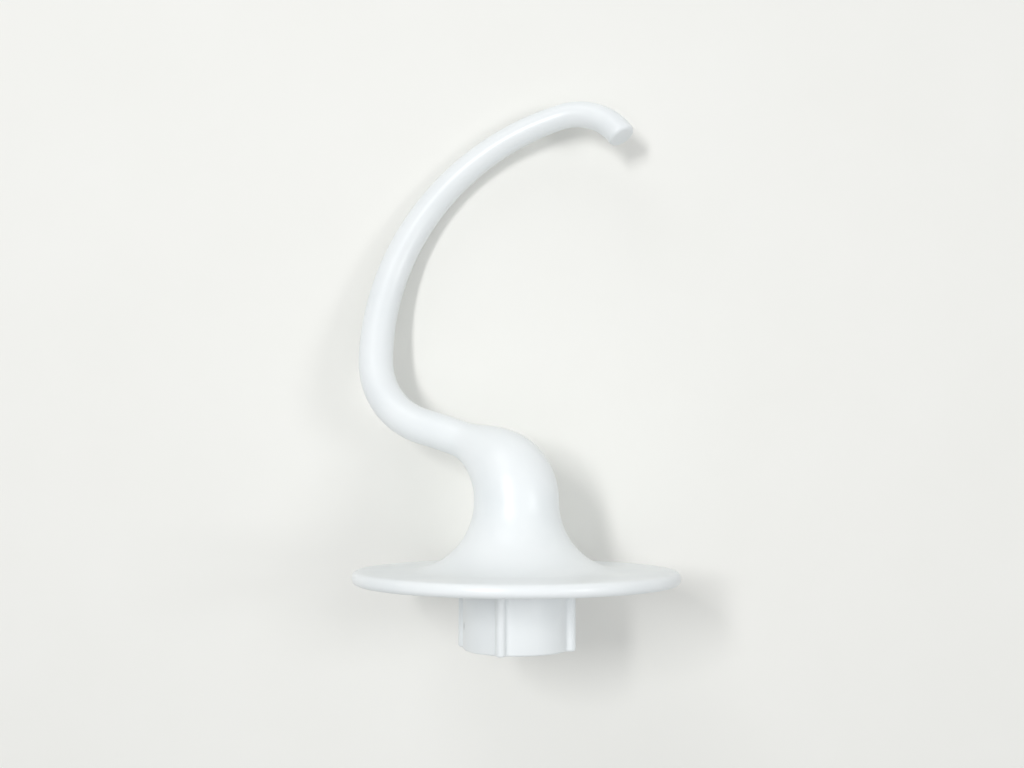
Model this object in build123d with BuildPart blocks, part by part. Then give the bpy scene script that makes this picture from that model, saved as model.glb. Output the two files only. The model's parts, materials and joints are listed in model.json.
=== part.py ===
from build123d import *
import os
from math import acos, atan2, cos, degrees, hypot, radians, sin

# Dough hook of a stand mixer: one aluminium casting, coated white.
# It is drawn upright, standing on the hub's open end with the hub's axis on Z and its back towards +Y,
# and is then laid on its back, the way it comes to rest on a table. Millimetres and degrees.

# Hub: a short collar with rounded ribs
hub_diameter = 33.0
hub_length = 20.2
hub_end_bevel = 0.7
hub_root_bevel = 0.8
rib_count = 4
rib_width = 3.0
rib_height = 2.3
rib_root_radius = 1.1
rib_turn = -106.0

# Drive socket: a blind hole for the mixer's shaft, with a track for the shaft's cross pin
shaft_diameter = 12.7
shaft_clearance = 0.3
socket_depth = 32.0
socket_mouth_bevel = 0.6
pin_diameter = 4.8
pin_reach = 10.6
pin_clearance = 0.5
pin_height = 11.5
pin_entry_turn = 5.0
pin_lock_turn = 62.0

# Shield that keeps dough out of the drive, and the neck that flares into it
shield_diameter = 101.6
shield_thickness = 4.0
shield_edge_radius = 1.8
neck_diameter = 26.7
neck_flare_radius = 21.0

# Plane of the hook: turned about the hub's axis and leaning back from it
hook_turn = 18.0
hook_lean = 9.4

# Shoulder: from the neck to the start of the bend, measured in the plane of the hook
shoulder_reach = 33.9
shoulder_rise = 24.9
shoulder_slope = 17.0
shoulder_neck_lead = 15.4
shoulder_arm_lead = 13.7
shoulder_taper_length = 30.6
shoulder_fullness_power = 2.6
shoulder_section_count = 8
shoulder_crowding_power = 1.5

# Arm: three arcs that run into each other, tapering along the back and swelling again at the tip
bend_radius = 26.0
bend_angle = 69.0
bend_section_count = 3
back_radius = 80.0
back_angle = 80.0
back_section_count = 5
curl_radius = 20.0
curl_angle = 74.0
curl_section_count = 3
arm_diameter = 11.6
curl_diameter = 8.3
tip_diameter = 9.2
tip_edge_bevel = 0.5

shield_top = hub_length + shield_thickness
neck_top = shield_top + neck_flare_radius
socket_diameter = shaft_diameter + shaft_clearance
track_width = pin_diameter + pin_clearance
track_reach = pin_reach + pin_clearance
track_top = pin_height + track_width / 2
pin_entry = Plane.XZ.rotated((0, pin_entry_turn, 0))

sideways = Vector(1, 0, 0).rotate(Axis.Z, -hook_turn)
forwards = Vector(0, -1, 0).rotate(Axis.Z, -hook_turn)
leaning = forwards.rotate(Axis((0, 0, 0), sideways), -hook_lean)
hook_plane = Plane((0, 0, neck_top), x_dir=sideways, z_dir=leaning)

# Centre line of the arm, drawn flat
with BuildLine() as flat_arm:
    bend = JernArc(
        (-shoulder_reach, shoulder_rise),
        (-cos(radians(shoulder_slope)), sin(radians(shoulder_slope))),
        bend_radius,
        -bend_angle,
    )
    back = JernArc(bend @ 1, bend % 1, back_radius, -back_angle)
    curl = JernArc(back @ 1, back % 1, curl_radius, -curl_angle)
bend_line, back_line, curl_line = [hook_plane.from_local_coords(arc) for arc in (bend, back, curl)]

# Centre line of the shoulder: it leaves the neck along the hub's axis and runs into the bend
with BuildLine() as shoulder:
    shoulder_line = Bezier(
        (0, 0, neck_top),
        (0, 0, neck_top + shoulder_neck_lead),
        bend_line @ 0 - (bend_line % 0) * shoulder_arm_lead,
        bend_line @ 0,
    )


def shoulder_diameter(fraction):
    """Diameter part way along the shoulder: full at the neck, then falling to the arm's."""
    run = min(fraction * shoulder_line.length / shoulder_taper_length, 1)
    return arm_diameter + (neck_diameter - arm_diameter) * (1 - run**shoulder_fullness_power) ** 2


def tapering(start_diameter, end_diameter):
    """Diameter that changes evenly along a line."""
    return lambda fraction: start_diameter + (end_diameter - start_diameter) * fraction


# Round sections along the whole arm, each as its centre, direction and diameter.
# Those of the shoulder crowd towards the neck, so that the surface leaves it without a crease.
sections = []
for line, count, crowding, diameter_at in (
    (shoulder_line, shoulder_section_count, shoulder_crowding_power, shoulder_diameter),
    (bend_line, bend_section_count, 1, tapering(arm_diameter, arm_diameter)),
    (back_line, back_section_count, 1, tapering(arm_diameter, curl_diameter)),
    (curl_line, curl_section_count, 1, tapering(curl_diameter, tip_diameter)),
):
    for step in range(count):
        fraction = (step / count) ** crowding
        sections.append((line @ fraction, line % fraction, diameter_at(fraction)))
sections.append((curl_line @ 1, curl_line % 1, tip_diameter))

with BuildPart() as casting:
    # Hub, shield and flared neck turned from one half outline
    with BuildSketch(Plane.XZ):
        with BuildLine():
            lower = FilletPolyline(
                (0, 0),
                (hub_diameter / 2, 0),
                (hub_diameter / 2, hub_length),
                (shield_diameter / 2, hub_length),
                (shield_diameter / 2, shield_top),
                (neck_diameter / 2 + neck_flare_radius, shield_top),
                radius=(0, 0, shield_edge_radius, shield_edge_radius),
            )
            flare = RadiusArc(lower @ 1, (neck_diameter / 2, neck_top), neck_flare_radius)
            Polyline(flare @ 1, (0, neck_top), (0, 0))
        make_face()
    revolve(axis=Axis.Z)

    # Ribs on the hub, run into it by small radii and into the shield by a small bevel
    with BuildSketch():
        with PolarLocations(hub_diameter / 2, rib_count, start_angle=rib_turn):
            SlotOverall(2 * rib_height, rib_width)
    extrude(amount=hub_length)
    fillet(edges().filter_by(Axis.Z).group_by(SortBy.DISTANCE)[0], rib_root_radius)
    hub_end, shield_underside = faces().filter_by(Axis.Z).sort_by(Axis.Z)[:2]
    chamfer(shield_underside.inner_wires()[0].edges(), hub_root_bevel)
    hub_end = faces().filter_by(Axis.Z).sort_by(Axis.Z)[0]
    chamfer(hub_end.outer_wire().edges(), hub_end_bevel)

    # Socket for the shaft, with the way in and the turn for its cross pin
    with BuildSketch():
        Circle(socket_diameter / 2)
    extrude(amount=socket_depth, mode=Mode.SUBTRACT)
    with BuildSketch(pin_entry):
        Rectangle(track_reach, track_top, align=Align.MIN)
    extrude(amount=track_width / 2, both=True, mode=Mode.SUBTRACT)
    with BuildSketch(pin_entry):
        with Locations((0, track_top)):
            Rectangle(track_reach, track_width, align=(Align.MIN, Align.MAX))
    revolve(axis=Axis.Z, revolution_arc=pin_lock_turn, mode=Mode.SUBTRACT)
    hub_end = faces().filter_by(Axis.Z).sort_by(Axis.Z)[0]
    chamfer(hub_end.inner_wires()[0].edges(), socket_mouth_bevel)

    # Shoulder and arm through all the round sections
    for centre, direction, diameter in sections:
        with BuildSketch(Plane(centre, x_dir=hook_plane.z_dir, z_dir=direction)):
            Circle(diameter / 2)
    loft()
    chamfer(faces().sort_by_distance(curl_line @ 1)[0].edges(), tip_edge_bevel)


def touching_tilt(centre, diameter):
    """Tilt of the axis at which the shield's edge and one section of the arm meet a flat surface."""
    rise = shield_diameter / 2 - shield_edge_radius - centre.Y
    run = centre.Z - (shield_top - shield_edge_radius)
    reach = diameter / 2 - shield_edge_radius
    return degrees(acos(reach / hypot(rise, run)) - atan2(run, rise))


# Laid on its back, the casting rests on the shield's edge and on the first section of the arm to touch
arm_sections = sections[shoulder_section_count:]
rest_tilt = min(touching_tilt(centre, diameter) for centre, direction, diameter in arm_sections)
laid_down = casting.part.rotate(Axis.X, -(90 + rest_tilt))
footprint = laid_down.bounding_box()
rest_place = Pos(-footprint.center().X, -footprint.center().Y, -footprint.min.Z)

with BuildPart() as dough_hook:
    add(rest_place * laid_down)

os.makedirs("parts", exist_ok=True)
dough_hook.part.label = "dough_hook"
export_step(dough_hook.part, "parts/dough_hook.step")
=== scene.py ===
# Dough hook of a stand mixer: one aluminium casting, coated white, lying on its back on a pale floor.
import json
from math import acos, atan2, cos, pi, radians, sin

import bmesh
import bpy
from bmesh.types import BMEdge, BMVert
from bpy.props import FloatProperty, FloatVectorProperty, IntProperty, PointerProperty
from bpy.types import NodeSocket, Operator, Panel, PropertyGroup
from mathutils import Matrix, Vector


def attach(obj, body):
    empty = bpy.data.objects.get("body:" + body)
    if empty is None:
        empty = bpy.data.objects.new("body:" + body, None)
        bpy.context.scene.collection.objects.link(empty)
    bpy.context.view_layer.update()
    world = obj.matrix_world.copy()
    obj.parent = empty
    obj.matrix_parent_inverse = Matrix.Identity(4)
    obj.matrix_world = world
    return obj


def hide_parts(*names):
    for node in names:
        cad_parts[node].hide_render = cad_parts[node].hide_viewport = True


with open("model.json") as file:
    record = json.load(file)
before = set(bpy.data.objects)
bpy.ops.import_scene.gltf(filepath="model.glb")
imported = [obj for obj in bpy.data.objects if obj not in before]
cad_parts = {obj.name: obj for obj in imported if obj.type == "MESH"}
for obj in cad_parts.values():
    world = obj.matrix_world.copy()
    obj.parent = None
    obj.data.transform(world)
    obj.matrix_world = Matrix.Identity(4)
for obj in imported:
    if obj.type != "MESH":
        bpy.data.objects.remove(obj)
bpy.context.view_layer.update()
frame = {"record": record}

bl_info = {
    "name": "Dough Hook",
    "version": (1, 0, 0),
    "blender": (4, 5, 0),
    "location": "View3D > Sidebar > Dough Hook",
    "description": "Models the dough hook of a stand mixer and lays it on a studio floor",
    "category": "Object",
}

MM = 0.001
SOCKET = next(mount for mount in frame["record"]["mounts"] if mount["name"] == "shaft_socket")

# Fineness of the meshes, in steps
TURN_STEPS = 128
ROUND_STEPS = 6
FLARE_STEPS = 24
RIB_STEPS = 8
HUB_STEPS = 12
SHOULDER_STEPS = 56
BEND_STEPS = 26
BACK_STEPS = 54
CURL_STEPS = 16
SOCKET_STEPS = 72

# Widest gap between two points that count as one, and the steepest fold that is still shaded smooth
WELD = 0.0005 * MM
SMOOTH_LIMIT = radians(32)

# Axis about which a half outline's arc turns from outwards to upwards
RISING = (0, -1, 0)


def linear(code):
    """Linear colour of an sRGB hex value."""
    shares = [int(code[at : at + 2], 16) / 255 for at in (0, 2, 4)]
    return tuple(s / 12.92 if s <= 0.04045 else ((s + 0.055) / 1.055) ** 2.4 for s in shares)


def length(name, size, description):
    """Length property, given in millimetres and kept in metres."""
    return FloatProperty(name=name, description=description, default=size * MM, precision=5, unit="LENGTH")


def angle(name, size, description):
    """Angle property, given in degrees and kept in radians."""
    return FloatProperty(name=name, description=description, default=radians(size), subtype="ANGLE")


def colour(name, code, description):
    """Colour property, given as an sRGB hex value."""
    return FloatVectorProperty(
        name=name, description=description, default=linear(code), subtype="COLOR", min=0, max=1
    )


def place(name, at, description):
    """Place property, given in millimetres and kept in metres."""
    metres = [size * MM for size in at]
    return FloatVectorProperty(
        name=name,
        description=description,
        default=metres,
        precision=5,
        subtype="TRANSLATION",
        unit="LENGTH",
    )


def extent(name, sides, description):
    """Property for two or three sides of a thing, given in millimetres and kept in metres."""
    metres = [size * MM for size in sides]
    return FloatVectorProperty(
        name=name, description=description, default=metres, size=len(sides), precision=5, unit="LENGTH"
    )


def power(name, watts, description):
    """Power property of a light, in watts."""
    return FloatProperty(name=name, description=description, default=watts, min=0, unit="POWER")


def share(name, part, description):
    """Property for a part of a whole, from 0 to 1."""
    return FloatProperty(name=name, description=description, default=part, min=0, max=1, subtype="FACTOR")


class DoughHookSizes(PropertyGroup):
    """Sizes of the casting."""

    hub_diameter: length("Hub diameter", 33.0, "Across the hub between its ribs")
    hub_length: length("Hub length", 20.2, "From the hub's open end to the shield")
    hub_end_radius: length("Hub end radius", 0.7, "Rounding of the hub's open end")
    hub_root_radius: length("Hub root radius", 0.8, "Cove between the hub and the shield")
    rib_count: IntProperty(name="Ribs", description="Ribs around the hub", default=4, min=2)
    rib_width: length("Rib width", 3.0, "Across one rib, whose crest is half round")
    rib_height: length("Rib height", 2.3, "How far a rib stands off the hub")
    rib_root_radius: length("Rib root radius", 1.1, "Cove between a rib and the hub")
    rib_turn: angle("Rib turn", -106.0, "Turn of the first rib about the hub's axis")

    socket_diameter: length("Socket diameter", 2 * SOCKET["dims"]["r_mm"], "Bore for the drive shaft")
    socket_wall: length("Socket wall", SOCKET["dims"]["length_mm"], "Straight wall of the bore")
    socket_mouth_radius: length("Socket mouth radius", 0.6, "Rounding of the bore's mouth")
    track_width: length("Track width", 5.3, "Across the track for the shaft's cross pin")
    track_reach: length("Track reach", 11.1, "From the hub's axis to the end of the track")
    track_top: length("Track top", 14.15, "From the hub's open end to the track's far side")
    track_turn: angle("Track turn", 5.0, "Turn of the way in about the hub's axis")
    track_lock_turn: angle("Track lock turn", 62.0, "How far the pin turns inside the hub")

    shield_diameter: length("Shield diameter", 101.6, "Across the shield")
    shield_thickness: length("Shield thickness", 4.0, "Thickness of the shield at its rim")
    shield_edge_radius: length("Shield edge radius", 1.8, "Rounding of the shield's rim")
    neck_diameter: length("Neck diameter", 26.7, "Across the neck where its flare ends")
    neck_flare_radius: length("Neck flare radius", 21.0, "Flare of the neck into the shield")

    hook_turn: angle("Hook turn", 18.0, "Turn of the hook's plane about the hub's axis")
    hook_lean: angle("Hook lean", 9.4, "How far the hook's plane leans back from the hub's axis")
    shoulder_reach: length("Shoulder reach", 33.9, "Sideways from the neck to the start of the bend")
    shoulder_rise: length("Shoulder rise", 24.9, "Along the hook from the neck to the start of the bend")
    shoulder_slope: angle("Shoulder slope", 17.0, "Slope of the arm at the start of the bend")
    shoulder_neck_lead: length("Shoulder neck lead", 15.4, "How far the neck's direction is held")
    shoulder_arm_lead: length("Shoulder arm lead", 13.7, "How far the arm's direction is held")
    shoulder_taper_length: length("Shoulder taper length", 30.6, "Run of the taper from neck to arm")
    shoulder_fullness: FloatProperty(
        name="Shoulder fullness",
        description="How long the shoulder stays as thick as the neck",
        default=2.6,
    )
    bend_radius: length("Bend radius", 26.0, "Arc at the shoulder end of the arm")
    bend_angle: angle("Bend angle", 69.0, "Turn of the bend")
    back_radius: length("Back radius", 80.0, "Long arc of the arm")
    back_angle: angle("Back angle", 80.0, "Turn of the long arc")
    curl_radius: length("Curl radius", 20.0, "Arc at the tip")
    curl_angle: angle("Curl angle", 74.0, "Turn of the curl")
    arm_diameter: length("Arm diameter", 11.6, "Across the arm in the bend")
    curl_diameter: length("Curl diameter", 8.3, "Across the arm where the curl starts")
    tip_diameter: length("Tip diameter", 9.2, "Across the tip")
    tip_edge_radius: length("Tip edge radius", 1.2, "Rounding of the tip's edge")


class DoughHookFinish(PropertyGroup):
    """Colours and grain of the coating, and the marks on it."""

    coating: colour("Coating", "EDF1F2", "Cool white of the coating")
    thin_coating: colour("Thin coating", "E3E8EA", "Tone where the coating lies thinner over the metal")
    thin_share: share("Thin share", 0.7, "How much of the thin tone shows at most")
    cloud_size: length("Cloud size", 30, "Across the clouds in which the coating lies thinner")
    smoothest: share("Smoothest", 0.29, "Roughness where the coating is smoothest")
    roughest: share("Roughest", 0.35, "Roughness where the coating is roughest")
    peel_size: length("Orange peel size", 2, "From crest to crest of the coating's orange peel")
    peel_depth: length("Orange peel depth", 0.03, "Height of the orange peel at full strength")
    peel_strength: share("Orange peel strength", 0.25, "How much of the orange peel shows")

    # Marks: a grey spot in the corner beside a rib's root on the hub, and a faint scratch on the neck
    mark_grey: colour("Mark grey", "8E9294", "Grey of the marks")
    mark_grain: length("Mark grain", 0.5, "Grain that breaks up the marks")
    grey_spot_place: place("Grey spot place", (-14.9, -78.3, 56.1), "Middle of the grey spot beside a rib")
    grey_spot_size: extent("Grey spot size", (1.0, 1.8, 1.3), "Half the sides of the grey spot")
    grey_spot_strength: share("Grey spot strength", 0.55, "How strongly the grey spot shows")
    scratch_place: place("Scratch place", (-1.5, -36.9, 59.3), "Middle of the faint scratch on the neck")
    scratch_size: extent("Scratch size", (1.8, 0.2, 1.2), "Half the sides of the scratch")
    scratch_turn: angle("Scratch turn", -53.0, "Turn of the scratch, seen from above")
    scratch_strength: share("Scratch strength", 0.14, "How strongly the scratch shows")


class DoughHookStage(PropertyGroup):
    """Floor, lights and camera."""

    floor: colour("Floor", "F2F2EE", "Colour of the floor")
    floor_shade: colour("Floor shade", "EEEEE9", "Colour of the floor where its paint lies thinner")
    floor_patch: length("Floor patch size", 60, "Across the patches in which the paint lies thinner")
    floor_radius: length("Floor radius", 15000, "From the middle of the floor to its edge")

    sky: colour("Sky", "F7F8FA", "Colour of the room's light")
    sky_strength: FloatProperty(
        name="Sky strength", description="Strength of the room's light", default=0.45, min=0
    )
    key_place: place("Key light place", (-420, 330, 1100), "Where the key light hangs")
    key_size: extent("Key light size", (110, 360), "Width and length of the key light")
    key_power: power("Key light power", 5.3, "Power of the key light")
    side_place: place("Side light place", (810, 90, 900), "Where the side light hangs")
    side_size: extent("Side light size", (300, 300), "Width and length of the side light")
    side_power: power("Side light power", 2.3, "Power of the side light")
    back_place: place("Back light place", (-3500, 8475, 4000), "Where the back light hangs")
    back_size: extent("Back light size", (4800, 4800), "Width and length of the back light")
    back_power: power("Back light power", 125, "Power of the back light")
    top_place: place("Top light place", (0, 0, 550), "Where the top light hangs")
    top_size: extent("Top light size", (500, 500), "Width and length of the top light")
    top_power: power("Top light power", 0.4, "Power of the top light")

    camera_place: place("Camera place", (-2.41, 17.84, 397.02), "Where the camera hangs")
    camera_turn: FloatVectorProperty(
        name="Camera turn",
        description="Turn of the camera, which looks almost straight down",
        default=(radians(-3.63), radians(-0.34), radians(0.14)),
        subtype="EULER",
    )
    camera_lens: FloatProperty(
        name="Camera lens",
        description="Focal length in millimetres on a 36 mm wide sensor",
        default=39.63,
    )


def closed_mesh(bm, name):
    """Welds a bmesh, points its faces outwards and makes it a mesh, which has to be closed."""
    bmesh.ops.remove_doubles(bm, verts=bm.verts[:], dist=WELD)
    bmesh.ops.delete(bm, geom=[edge for edge in bm.edges if edge.is_wire], context="EDGES")
    bmesh.ops.recalc_face_normals(bm, faces=bm.faces[:])
    if not all(edge.is_manifold for edge in bm.edges):
        raise RuntimeError(f"The surface of {name} isn't closed")
    mesh = bpy.data.meshes.new(name)
    bm.to_mesh(mesh)
    bm.free()
    return mesh


def picked(geometry, kind):
    """Elements of one kind in an operator's result."""
    return [element for element in geometry if isinstance(element, kind)]


def open_edges(bm, height):
    """Edges at one height that have a face on one side only."""
    return [
        edge
        for edge in bm.edges
        if edge.is_boundary and all(abs(vert.co.z - height) < WELD for vert in edge.verts)
    ]


def line_to(bm, point, radius, height):
    """Draws a half outline on with a straight line, and gives its new end."""
    end = bmesh.ops.extrude_vert_indiv(bm, verts=[point])["verts"][0]
    end.co = (radius, 0, height)
    return end


def arc_about(bm, point, centre, axis, turn, steps):
    """Draws an outline on with an arc, and gives its new end."""
    made = bmesh.ops.spin(bm, geom=[point], cent=centre, axis=axis, angle=turn, steps=steps)
    return picked(made["geom_last"], BMVert)[0]


def turn_round(bm, points, steps):
    """Turns a half outline once about the hub's axis."""
    edges = {edge for point in points for edge in point.link_edges}
    bmesh.ops.spin(
        bm,
        geom=[*points, *edges],
        cent=(0, 0, 0),
        axis=(0, 0, 1),
        angle=2 * pi,
        steps=steps,
        use_merge=True,
    )


def quarter(radius, cove):
    """Steps of a quarter round, each as a way inwards and a way along the face's normal."""
    turns = [radians(90) * step / ROUND_STEPS for step in range(ROUND_STEPS + 1)]
    over = [radius * (1 - cos(turn)) for turn in turns]
    along = [radius * sin(turn) for turn in turns]
    places = list(zip(along, over) if cove else zip(over, along))
    return [(there[0] - here[0], there[1] - here[1]) for here, there in zip(places, places[1:])]


def draw_face_out(bm, face, steps):
    """Moves a face along its normal in steps, drawing it in at each."""
    for inwards, forwards in steps:
        bmesh.ops.inset_region(
            bm, faces=[face], thickness=inwards, depth=forwards, use_boundary=True, use_even_offset=True
        )


def hub(bm, sizes):
    """Ribbed hub, drawn down from its outline under the shield, which is left open, to its end face."""
    wall = sizes.hub_diameter / 2
    rib = sizes.rib_width / 2
    rib_centre = wall + sizes.rib_height - rib
    root_centre = wall + sizes.rib_root_radius
    root_gap = rib + sizes.rib_root_radius
    root_turn = acos((root_centre**2 + rib_centre**2 - root_gap**2) / (2 * root_centre * rib_centre))
    root_place = Vector((root_centre * cos(root_turn), root_centre * sin(root_turn), sizes.hub_length))
    crest_turn = atan2(root_place.y, root_place.x - rib_centre)
    crest = rib_centre + rib + sizes.hub_root_radius

    # Half of one rib and the wall beside it, wider by the cove, mirrored and repeated around the hub
    point = bm.verts.new((crest, 0, sizes.hub_length))
    for centre, turn, steps in (
        ((rib_centre, 0, sizes.hub_length), crest_turn, RIB_STEPS),
        (root_place, root_turn - crest_turn, RIB_STEPS),
        ((0, 0, sizes.hub_length), pi / sizes.rib_count - root_turn, HUB_STEPS),
    ):
        point = arc_about(bm, point, centre, (0, 0, 1), turn, steps)
    bmesh.ops.mirror(bm, geom=bm.verts[:] + bm.edges[:], matrix=Matrix(), merge_dist=WELD, axis="Y")
    bmesh.ops.spin(
        bm,
        geom=bm.verts[:] + bm.edges[:],
        cent=(0, 0, 0),
        axis=(0, 0, 1),
        angle=2 * pi,
        steps=sizes.rib_count,
        use_duplicate=True,
    )
    bmesh.ops.remove_doubles(bm, verts=bm.verts[:], dist=WELD)
    turned = Matrix.Rotation(sizes.rib_turn, 3, "Z")
    bmesh.ops.rotate(bm, verts=bm.verts[:], cent=(0, 0, 0), matrix=turned)

    # The face inside the outline points down and is drawn to the hub's open end
    end = bmesh.ops.edgeloop_fill(bm, edges=bm.edges[:])["faces"][0]
    end.normal_update()
    if end.normal.z > 0:
        end.normal_flip()
    straight = sizes.hub_length - sizes.hub_root_radius - sizes.hub_end_radius
    draw_face_out(bm, end, quarter(sizes.hub_root_radius, cove=True))
    draw_face_out(bm, end, [(0, straight)])
    draw_face_out(bm, end, quarter(sizes.hub_end_radius, cove=False))


def shield_and_neck(bm, sizes):
    """Shield and flared neck, turned from a half outline and closed around the hub."""
    clear_of_ribs = sizes.hub_diameter / 2 + 2 * sizes.rib_height
    rim = sizes.shield_diameter / 2
    edge = sizes.shield_edge_radius
    under = sizes.hub_length
    top = sizes.hub_length + sizes.shield_thickness
    flare = sizes.neck_diameter / 2 + sizes.neck_flare_radius
    before = set(bm.verts)
    point = bm.verts.new((clear_of_ribs, 0, under))
    point = line_to(bm, point, rim - edge, under)
    point = arc_about(bm, point, (rim - edge, 0, under + edge), RISING, radians(90), ROUND_STEPS)
    point = line_to(bm, point, rim, top - edge)
    point = arc_about(bm, point, (rim - edge, 0, top - edge), RISING, radians(90), ROUND_STEPS)
    point = line_to(bm, point, flare, top)
    arc_about(bm, point, (flare, 0, top + sizes.neck_flare_radius), RISING, radians(-90), FLARE_STEPS)
    turn_round(bm, [vert for vert in bm.verts if vert not in before], TURN_STEPS)
    bmesh.ops.triangle_fill(bm, edges=open_edges(bm, under), use_beauty=True)


def on_bezier(ends, fraction):
    """Point and direction part way along a Bezier curve."""
    points = list(ends)
    while len(points) > 2:
        points = [here.lerp(there, fraction) for here, there in zip(points, points[1:])]
    return points[0].lerp(points[1], fraction), (points[1] - points[0]).normalized()


def ring_place(centre, direction, side, diameter):
    """Place of a round section, as the matrix that brings a unit circle there."""
    across = (side - side.project(direction)).normalized()
    turned = Matrix((across, direction.cross(across), direction)).transposed().to_4x4()
    return Matrix.Translation(centre) @ turned @ Matrix.Scale(diameter / 2, 4)


def arm_places(sizes):
    """Places of the round sections from the neck to the tip."""
    neck_top = sizes.hub_length + sizes.shield_thickness + sizes.neck_flare_radius
    plane = (
        Matrix.Translation((0, 0, neck_top))
        @ Matrix.Rotation(-sizes.hook_turn, 4, "Z")
        @ Matrix.Rotation(radians(90) - sizes.hook_lean, 4, "X")
    )
    turned = plane.to_3x3()
    side = turned @ Vector((0, 0, 1))

    # Bend, back and curl: arcs in the hook's plane that turn to the right, each from the end of the last
    arcs = []
    point = Vector((-sizes.shoulder_reach, sizes.shoulder_rise, 0))
    heading = pi - sizes.shoulder_slope
    for radius, turn, start, end, steps in (
        (sizes.bend_radius, sizes.bend_angle, sizes.arm_diameter, sizes.arm_diameter, BEND_STEPS),
        (sizes.back_radius, sizes.back_angle, sizes.arm_diameter, sizes.curl_diameter, BACK_STEPS),
        (sizes.curl_radius, sizes.curl_angle, sizes.curl_diameter, sizes.tip_diameter, CURL_STEPS),
    ):
        centre = point + radius * Vector((sin(heading), -cos(heading), 0))
        for step in range(1, steps + 1):
            way = heading - turn * step / steps
            point = centre - radius * Vector((sin(way), -cos(way), 0))
            direction = turned @ Vector((cos(way), sin(way), 0))
            diameter = start + (end - start) * step / steps
            arcs.append(ring_place(plane @ point, direction, side, diameter))
        heading -= turn

    # Shoulder: leaves the neck along the hub's axis, stays full at first and then tapers to the arm
    bend_start = plane @ Vector((-sizes.shoulder_reach, sizes.shoulder_rise, 0))
    bend_heading = turned @ Vector((-cos(sizes.shoulder_slope), sin(sizes.shoulder_slope), 0))
    ends = (
        Vector((0, 0, neck_top)),
        Vector((0, 0, neck_top + sizes.shoulder_neck_lead)),
        bend_start - bend_heading * sizes.shoulder_arm_lead,
        bend_start,
    )
    shoulder = []
    run = 0
    last = ends[0]
    for step in range(SHOULDER_STEPS + 1):
        centre, direction = on_bezier(ends, step / SHOULDER_STEPS)
        run += (centre - last).length
        last = centre
        tapered = min(run / sizes.shoulder_taper_length, 1)
        swell = (1 - tapered**sizes.shoulder_fullness) ** 2
        diameter = sizes.arm_diameter + (sizes.neck_diameter - sizes.arm_diameter) * swell
        shoulder.append(ring_place(centre, direction, side, diameter))
    return shoulder + arcs


def arm(bm, sizes):
    """Shoulder and arm, drawn out of the neck's open edge from section to section and closed at the tip."""
    places = arm_places(sizes)
    edges = open_edges(bm, sizes.hub_length + sizes.shield_thickness + sizes.neck_flare_radius)
    for here, there in zip(places, places[1:]):
        made = bmesh.ops.extrude_edge_only(bm, edges=edges)["geom"]
        verts = picked(made, BMVert)
        edges = [edge for edge in picked(made, BMEdge) if edge.is_boundary]
        bmesh.ops.transform(bm, matrix=there @ here.inverted(), verts=verts)
    bmesh.ops.edgeloop_fill(bm, edges=edges)
    bmesh.ops.bevel(
        bm,
        geom=edges,
        offset=sizes.tip_edge_radius,
        affect="EDGES",
        segments=ROUND_STEPS,
        profile=0.5,
        material=-1,
    )


def socket_bore(sizes):
    """Hollow of the socket's bore and its rounded mouth, which starts a little outside the hub."""
    mouth = sizes.socket_mouth_radius
    bore = sizes.socket_diameter / 2
    depth = mouth + sizes.socket_wall
    bm = bmesh.new()
    point = bm.verts.new((0, 0, -mouth))
    point = line_to(bm, point, bore + mouth, -mouth)
    point = line_to(bm, point, bore + mouth, 0)
    point = arc_about(bm, point, (bore + mouth, 0, mouth), RISING, radians(-90), ROUND_STEPS)
    point = line_to(bm, point, bore, depth)
    line_to(bm, point, 0, depth)
    turn_round(bm, bm.verts[:], SOCKET_STEPS)
    return closed_mesh(bm, "socket_bore")


def pin_way_in(sizes):
    """Hollow through which the shaft's cross pin slides in, with a rounded mouth like the bore's."""
    mouth = sizes.socket_mouth_radius
    turned = Matrix.Rotation(sizes.track_turn, 4, "Z")
    spread = Matrix.Diagonal((sizes.track_reach / 2 + mouth, sizes.track_width / 2 + mouth, 1, 1))
    placed = turned @ Matrix.Translation((sizes.track_reach / 2, 0, -mouth)) @ spread
    bm = bmesh.new()
    bmesh.ops.create_grid(bm, x_segments=1, y_segments=1, size=1, matrix=placed)
    end = bm.faces[:][0]
    draw_face_out(bm, end, [(0, mouth)])
    draw_face_out(bm, end, quarter(mouth, cove=True))
    draw_face_out(bm, end, [(0, sizes.track_top - mouth)])
    bmesh.ops.edgeloop_fill(bm, edges=open_edges(bm, -mouth))
    return closed_mesh(bm, "pin_way_in")


def pin_turning_room(sizes):
    """Hollow in which the shaft's cross pin turns, from inside the bore to the end of the track."""
    # It starts half way from the hub's axis to the bore's wall, so that it opens into the bore
    inner = sizes.socket_diameter / 4
    middle = Vector(((sizes.track_reach + inner) / 2, 0, sizes.track_top - sizes.track_width / 2))
    placed = (
        Matrix.Rotation(sizes.track_turn, 4, "Z")
        @ Matrix.Translation(middle)
        @ Matrix.Rotation(radians(90), 4, "X")
        @ Matrix.Diagonal(((sizes.track_reach - inner) / 2, sizes.track_width / 2, 1, 1))
    )
    bm = bmesh.new()
    bmesh.ops.create_grid(bm, x_segments=1, y_segments=1, size=1, matrix=placed)
    made = bmesh.ops.spin(
        bm,
        geom=bm.edges[:],
        cent=(0, 0, 0),
        axis=(0, 0, 1),
        angle=sizes.track_lock_turn,
        steps=round(SOCKET_STEPS * sizes.track_lock_turn / (2 * pi)),
    )
    bmesh.ops.edgeloop_fill(bm, edges=picked(made["geom_last"], BMEdge))
    return closed_mesh(bm, "pin_turning_room")


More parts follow.
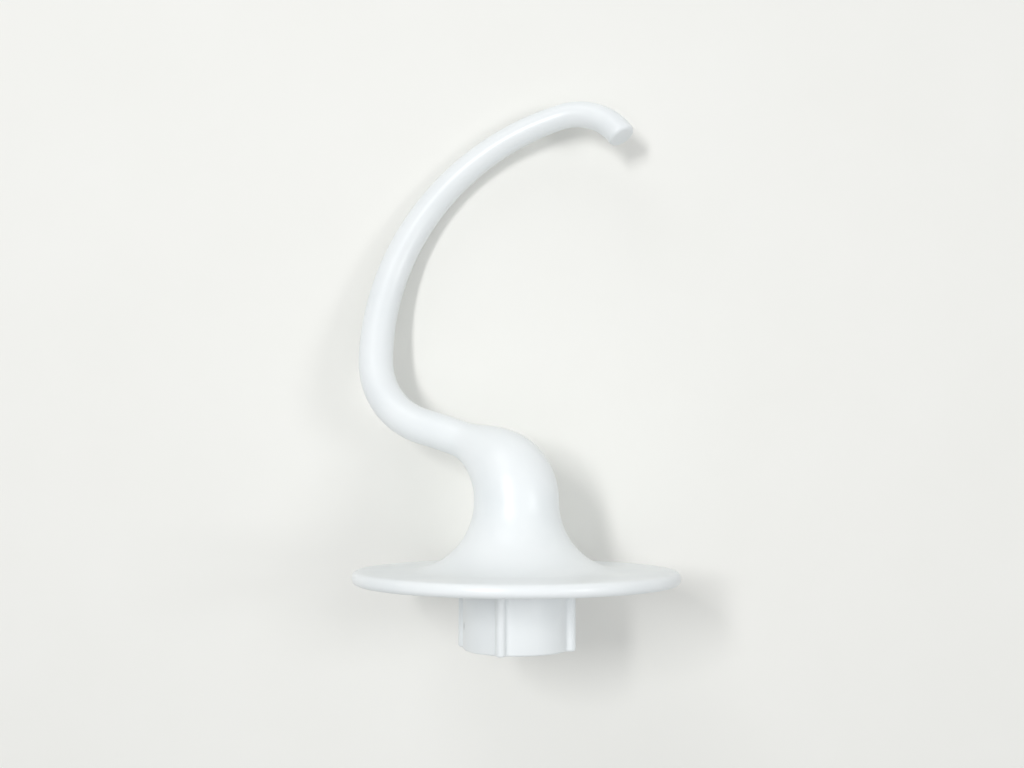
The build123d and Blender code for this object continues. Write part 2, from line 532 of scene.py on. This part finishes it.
def cut(piece, hollow):
    """Takes a hollow out of a piece."""
    tool = bpy.data.objects.new(hollow.name, hollow)
    bpy.context.scene.collection.objects.link(tool)
    modifier = piece.modifiers.new(hollow.name, "BOOLEAN")
    modifier.operation = "DIFFERENCE"
    modifier.solver = "EXACT"
    modifier.object = tool
    whole = piece.data
    evaluated = piece.evaluated_get(bpy.context.evaluated_depsgraph_get())
    piece.data = bpy.data.meshes.new_from_object(evaluated)
    piece.modifiers.clear()
    bpy.data.objects.remove(tool)
    bpy.data.meshes.remove(hollow)
    bpy.data.meshes.remove(whole)


def laid_down(sizes):
    """Place of the casting, which is drawn upright on the hub's open end and lies as the frame says."""
    out = Vector(SOCKET["axis"])
    mouth = Vector(SOCKET["pos_m"]) + out * (sizes.socket_wall / 2 + sizes.socket_mouth_radius)
    across = Vector((1, 0, 0))
    turned = Matrix((across, (-out).cross(across), -out)).transposed().to_4x4()
    return Matrix.Translation(mouth) @ turned


def add(tree, kind, settings=None, inputs=None):
    """Adds a node, with its settings and with values or other nodes' outputs for its inputs."""
    node = tree.nodes.new(kind)
    for name, value in (settings or {}).items():
        setattr(node, name, value)
    for name, value in (inputs or {}).items():
        if isinstance(value, NodeSocket):
            tree.links.new(value, node.inputs[name])
        else:
            node.inputs[name].default_value = value
    return node


def coated_aluminium(finish):
    """Cast aluminium under a sprayed and baked white coating."""
    # To the eye: an even, cool white that hides the metal, with broad highlights over faint orange peel
    material = bpy.data.materials.new("cast aluminium, baked white coating")
    material.use_nodes = True
    tree = material.node_tree
    tree.nodes.clear()
    spot = add(tree, "ShaderNodeTexCoord").outputs["Object"]

    # The coating runs a little thinner here and there, in clouds, and is rougher there
    cloud = add(
        tree,
        "ShaderNodeTexNoise",
        inputs={"Vector": spot, "Scale": 1 / finish.cloud_size, "Detail": 3, "Roughness": 0.5},
    ).outputs["Fac"]
    thin = add(
        tree,
        "ShaderNodeMapRange",
        inputs={
            "Value": cloud,
            "From Min": 0.45,
            "From Max": 0.75,
            "To Min": 0,
            "To Max": finish.thin_share,
        },
    ).outputs["Result"]
    tone = add(
        tree,
        "ShaderNodeMix",
        {"data_type": "RGBA"},
        {"Factor": thin, "A": (*finish.coating, 1), "B": (*finish.thin_coating, 1)},
    ).outputs["Result"]
    roughness = add(
        tree,
        "ShaderNodeMapRange",
        inputs={
            "Value": cloud,
            "From Min": 0.3,
            "From Max": 0.7,
            "To Min": finish.smoothest,
            "To Max": finish.roughest,
        },
    ).outputs["Result"]

    # A grey spot in the corner beside a rib's root on the hub and a faint scratch on the neck: grey,
    # rougher and broken up by fine grain
    grain = add(
        tree,
        "ShaderNodeTexNoise",
        inputs={"Vector": spot, "Scale": 1 / finish.mark_grain, "Detail": 2, "Roughness": 0.6},
    ).outputs["Fac"]
    for middle, turn, half_sides, strength in (
        (finish.grey_spot_place, 0, finish.grey_spot_size, finish.grey_spot_strength),
        (finish.scratch_place, finish.scratch_turn, finish.scratch_size, finish.scratch_strength),
    ):
        inside = add(
            tree,
            "ShaderNodeMapping",
            {"vector_type": "TEXTURE"},
            {"Vector": spot, "Location": middle, "Rotation": (0, 0, turn), "Scale": half_sides},
        ).outputs["Vector"]
        away = add(
            tree, "ShaderNodeVectorMath", {"operation": "LENGTH"}, {"Vector": inside}
        ).outputs["Value"]
        worn = add(
            tree,
            "ShaderNodeMapRange",
            {"interpolation_type": "SMOOTHSTEP"},
            {"Value": away, "From Min": 1, "From Max": 0.3, "To Min": 0, "To Max": strength},
        ).outputs["Result"]
        patchy = add(
            tree, "ShaderNodeMath", {"operation": "MULTIPLY"}, {0: worn, 1: grain}
        ).outputs["Value"]
        tone = add(
            tree,
            "ShaderNodeMix",
            {"data_type": "RGBA"},
            {"Factor": patchy, "A": tone, "B": (*finish.mark_grey, 1)},
        ).outputs["Result"]
        roughness = add(
            tree, "ShaderNodeMath", {"operation": "ADD"}, {0: roughness, 1: patchy}
        ).outputs["Value"]

    # Orange peel that the sprayed coat kept when it was baked
    peel = add(
        tree,
        "ShaderNodeTexNoise",
        inputs={"Vector": spot, "Scale": 1 / finish.peel_size, "Detail": 1, "Roughness": 0.4},
    ).outputs["Fac"]
    bump = add(
        tree,
        "ShaderNodeBump",
        inputs={"Height": peel, "Strength": finish.peel_strength, "Distance": finish.peel_depth},
    ).outputs["Normal"]
    shader = add(
        tree,
        "ShaderNodeBsdfPrincipled",
        inputs={"Base Color": tone, "Roughness": roughness, "Normal": bump, "IOR": 1.5},
    ).outputs["BSDF"]
    add(tree, "ShaderNodeOutputMaterial", inputs={"Surface": shader})
    return material


def matt_floor(stage):
    """Board with matt paint, put on with a roller."""
    # To the eye: pale and even, with hardly any gloss and only a trace of the roller's unevenness
    material = bpy.data.materials.new("matt painted board")
    material.use_nodes = True
    tree = material.node_tree
    tree.nodes.clear()
    spot = add(tree, "ShaderNodeTexCoord").outputs["Object"]
    patches = add(
        tree,
        "ShaderNodeTexNoise",
        inputs={"Vector": spot, "Scale": 1 / stage.floor_patch, "Detail": 4, "Roughness": 0.6},
    ).outputs["Fac"]
    tone = add(
        tree,
        "ShaderNodeMix",
        {"data_type": "RGBA"},
        {"Factor": patches, "A": (*stage.floor, 1), "B": (*stage.floor_shade, 1)},
    ).outputs["Result"]
    shader = add(
        tree, "ShaderNodeBsdfPrincipled", inputs={"Base Color": tone, "Roughness": 0.7}
    ).outputs["BSDF"]
    add(tree, "ShaderNodeOutputMaterial", inputs={"Surface": shader})
    return material


def studio_floor(scene, stage):
    """Lays the round floor."""
    bm = bmesh.new()
    bmesh.ops.create_circle(bm, cap_ends=True, segments=TURN_STEPS, radius=stage.floor_radius)
    mesh = bpy.data.meshes.new("floor")
    bm.to_mesh(mesh)
    bm.free()
    mesh.materials.append(matt_floor(stage))
    floor = bpy.data.objects.new("floor", mesh)
    scene.collection.objects.link(floor)


def facing_the_origin(at):
    """Place of a light that shines at the origin, with its length turned towards Y."""
    back = Vector(at).normalized()
    across = Vector((0, 1, 0)).cross(back).normalized()
    return Matrix.Translation(at) @ Matrix((across, back.cross(across), back)).transposed().to_4x4()


def studio_lights(scene, stage):
    """Gives the room an even light and hangs the panels, which the camera doesn't see."""
    scene.world = bpy.data.worlds.new("studio")
    scene.world.use_nodes = True
    background = scene.world.node_tree.nodes["Background"]
    background.inputs["Color"].default_value = (*stage.sky, 1)
    background.inputs["Strength"].default_value = stage.sky_strength
    for name, at, size, watts in (
        ("key_light", stage.key_place, stage.key_size, stage.key_power),
        ("side_light", stage.side_place, stage.side_size, stage.side_power),
        ("back_light", stage.back_place, stage.back_size, stage.back_power),
        ("top_light", stage.top_place, stage.top_size, stage.top_power),
    ):
        light = bpy.data.lights.new(name, "AREA")
        light.shape = "RECTANGLE"
        light.size, light.size_y = size
        light.energy = watts
        lamp = bpy.data.objects.new(name, light)
        lamp.matrix_world = facing_the_origin(at)
        lamp.visible_camera = False
        scene.collection.objects.link(lamp)


def studio_camera(scene, stage):
    """Hangs the camera above the hook."""
    camera = bpy.data.cameras.new("camera")
    camera.lens = stage.camera_lens
    camera.clip_start = 1 * MM
    viewer = bpy.data.objects.new("camera", camera)
    viewer.location = stage.camera_place
    viewer.rotation_euler = stage.camera_turn
    scene.collection.objects.link(viewer)
    scene.camera = viewer
    scene.view_settings.view_transform = "Standard"


class DOUGHHOOK_OT_casting(Operator):
    """Model the casting: hub with its socket, shield, neck, shoulder and arm"""

    bl_idname = "dough_hook.casting"
    bl_label = "Casting"
    bl_options = {"REGISTER", "UNDO"}

    def execute(self, context):
        sizes = context.scene.dough_hook_sizes
        bm = bmesh.new()
        hub(bm, sizes)
        shield_and_neck(bm, sizes)
        arm(bm, sizes)
        piece = bpy.data.objects.new("hook_casting", closed_mesh(bm, "casting"))
        context.scene.collection.objects.link(piece)
        for hollow in (socket_bore, pin_way_in, pin_turning_room):
            cut(piece, hollow(sizes))
        bm = bmesh.new()
        bm.from_mesh(piece.data)
        piece.data = closed_mesh(bm, "hook_casting")
        piece.data.transform(laid_down(sizes))
        piece.data.shade_smooth()
        piece.data.set_sharp_from_angle(angle=SMOOTH_LIMIT)
        piece.data.materials.clear()
        piece.data.materials.append(coated_aluminium(context.scene.dough_hook_finish))
        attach(piece, "root")
        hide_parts("dough_hook")
        return {"FINISHED"}


class DOUGHHOOK_OT_stage(Operator):
    """Lay out the floor, the lights and the camera"""

    bl_idname = "dough_hook.stage"
    bl_label = "Stage"
    bl_options = {"REGISTER", "UNDO"}

    def execute(self, context):
        stage = context.scene.dough_hook_stage
        studio_floor(context.scene, stage)
        studio_lights(context.scene, stage)
        studio_camera(context.scene, stage)
        return {"FINISHED"}


class DOUGHHOOK_PT_sidebar(Panel):
    """Lists the operators and the values that they use"""

    bl_idname = "DOUGHHOOK_PT_sidebar"
    bl_label = "Dough Hook"
    bl_space_type = "VIEW_3D"
    bl_region_type = "UI"
    bl_category = "Dough Hook"

    def draw(self, context):
        scene = context.scene
        for operator, groups in (
            (DOUGHHOOK_OT_casting, (scene.dough_hook_sizes, scene.dough_hook_finish)),
            (DOUGHHOOK_OT_stage, (scene.dough_hook_stage,)),
        ):
            column = self.layout.column(align=True)
            column.operator(operator.bl_idname)
            for group in groups:
                for name in group.__annotations__:
                    column.prop(group, name)


CLASSES = (
    DoughHookSizes,
    DoughHookFinish,
    DoughHookStage,
    DOUGHHOOK_OT_casting,
    DOUGHHOOK_OT_stage,
    DOUGHHOOK_PT_sidebar,
)


def register():
    """Adds the classes, and gives every scene the sizes, the finish and the stage."""
    for cls in CLASSES:
        bpy.utils.register_class(cls)
    bpy.types.Scene.dough_hook_sizes = PointerProperty(type=DoughHookSizes)
    bpy.types.Scene.dough_hook_finish = PointerProperty(type=DoughHookFinish)
    bpy.types.Scene.dough_hook_stage = PointerProperty(type=DoughHookStage)


def unregister():
    """Takes away what register added."""
    del bpy.types.Scene.dough_hook_stage
    del bpy.types.Scene.dough_hook_finish
    del bpy.types.Scene.dough_hook_sizes
    for cls in reversed(CLASSES):
        bpy.utils.unregister_class(cls)


def main():
    """Registers the classes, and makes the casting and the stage."""
    register()
    bpy.ops.dough_hook.casting()
    bpy.ops.dough_hook.stage()


if __name__ == "__main__":
    main()
